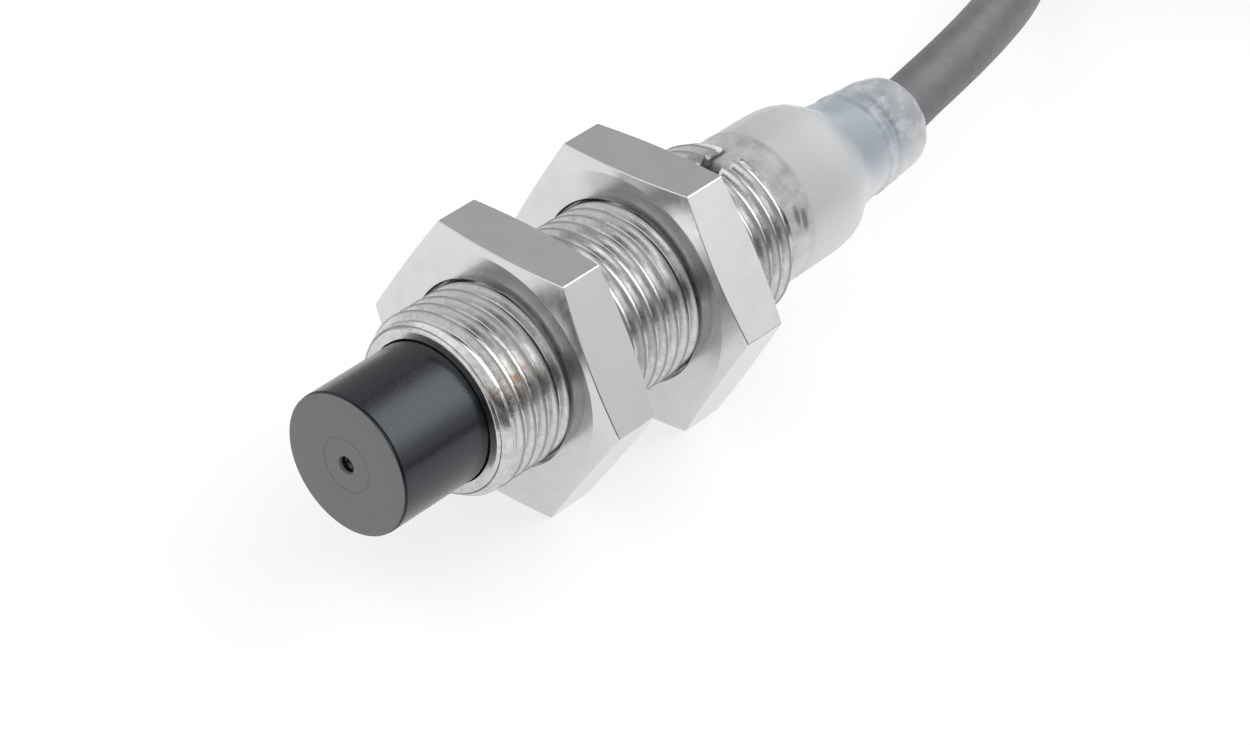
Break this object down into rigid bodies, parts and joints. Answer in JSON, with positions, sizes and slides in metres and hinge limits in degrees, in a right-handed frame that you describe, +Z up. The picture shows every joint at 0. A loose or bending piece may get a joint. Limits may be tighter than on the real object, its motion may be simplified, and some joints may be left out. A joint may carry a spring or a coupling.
{
  "type": "inductive proximity sensor",
  "caption": "Cylindrical inductive proximity sensor with a threaded metal barrel, protruding sensing cap, panel nuts, translucent cable clamp and a fixed cable folded into a tied hank.",
  "frame": {"origin": "centre of the flat sensing face", "axes": "+Y along the barrel's axis from the sensing face towards the cable, +Z up from the surface that the sensor lies on, +X to the right when looking along +Y"},
  "size_m": [0.0446, 0.1768, 0.0202],
  "materials": {
    "cap_plastic": "fine matt moulded PBT",
    "nickel": "bright nickel plating on turned brass",
    "nickel_nut": "satin nickel plating on turned brass",
    "clamp_plastic": "frosted translucent polyamide",
    "cable_sheath": "matt grey PVC",
    "ferrite": "sintered ferrite",
    "bobbin_plastic": "moulded",
    "copper": "enamelled copper wire",
    "board": "green solder mask on glass-epoxy laminate",
    "chip": "moulded epoxy package",
    "ceramic": "fired ceramic with tinned ends",
    "led": "clear lens over a yellow chip",
    "resin": "cast epoxy",
    "brown": "PVC insulation",
    "blue": "PVC insulation",
    "black": "PVC insulation",
    "tie_plastic": "moulded nylon"
  },
  "bodies": {
    "sensor": {"sensing_cap": "cap_plastic", "ferrite_core": "ferrite", "coil_bobbin": "bobbin_plastic", "coil_winding": "copper", "coil_wire_start": "copper", "coil_wire_end": "copper", "front_resin_plug": "resin", "threaded_barrel": "nickel", "circuit_board": "board", "sensor_ic": "chip", "output_transistor": "chip", "protection_diode": "chip", "oscillator_capacitor": "ceramic", "supply_capacitor": "ceramic", "sensitivity_resistor": "chip", "led_resistor": "chip", "indicator_led": "led", "barrel_resin": "resin", "cable_clamp": "clamp_plastic", "conductor_brown": "brown", "conductor_blue": "blue", "conductor_black": "black", "cable_lead": "cable_sheath", "cable_hank": "cable_sheath", "hank_tie": "tie_plastic", "cable_tail": "cable_sheath", "lead_brown": "brown", "lead_blue": "blue", "lead_black": "black"},
    "front_nut": {"front_nut": "nickel_nut"},
    "rear_nut": {"rear_nut": "nickel_nut"}
  },
  "joints": [
    {"name": "front_nut_slide", "type": "slide", "parent": "sensor", "child": "front_nut", "axis": [0, 1, 0], "range_m": [-0.004, 0.0038]},
    {"name": "rear_nut_slide", "type": "slide", "parent": "sensor", "child": "rear_nut", "axis": [0, 1, 0], "range_m": [-0.0038, 0.005]}
  ]
}
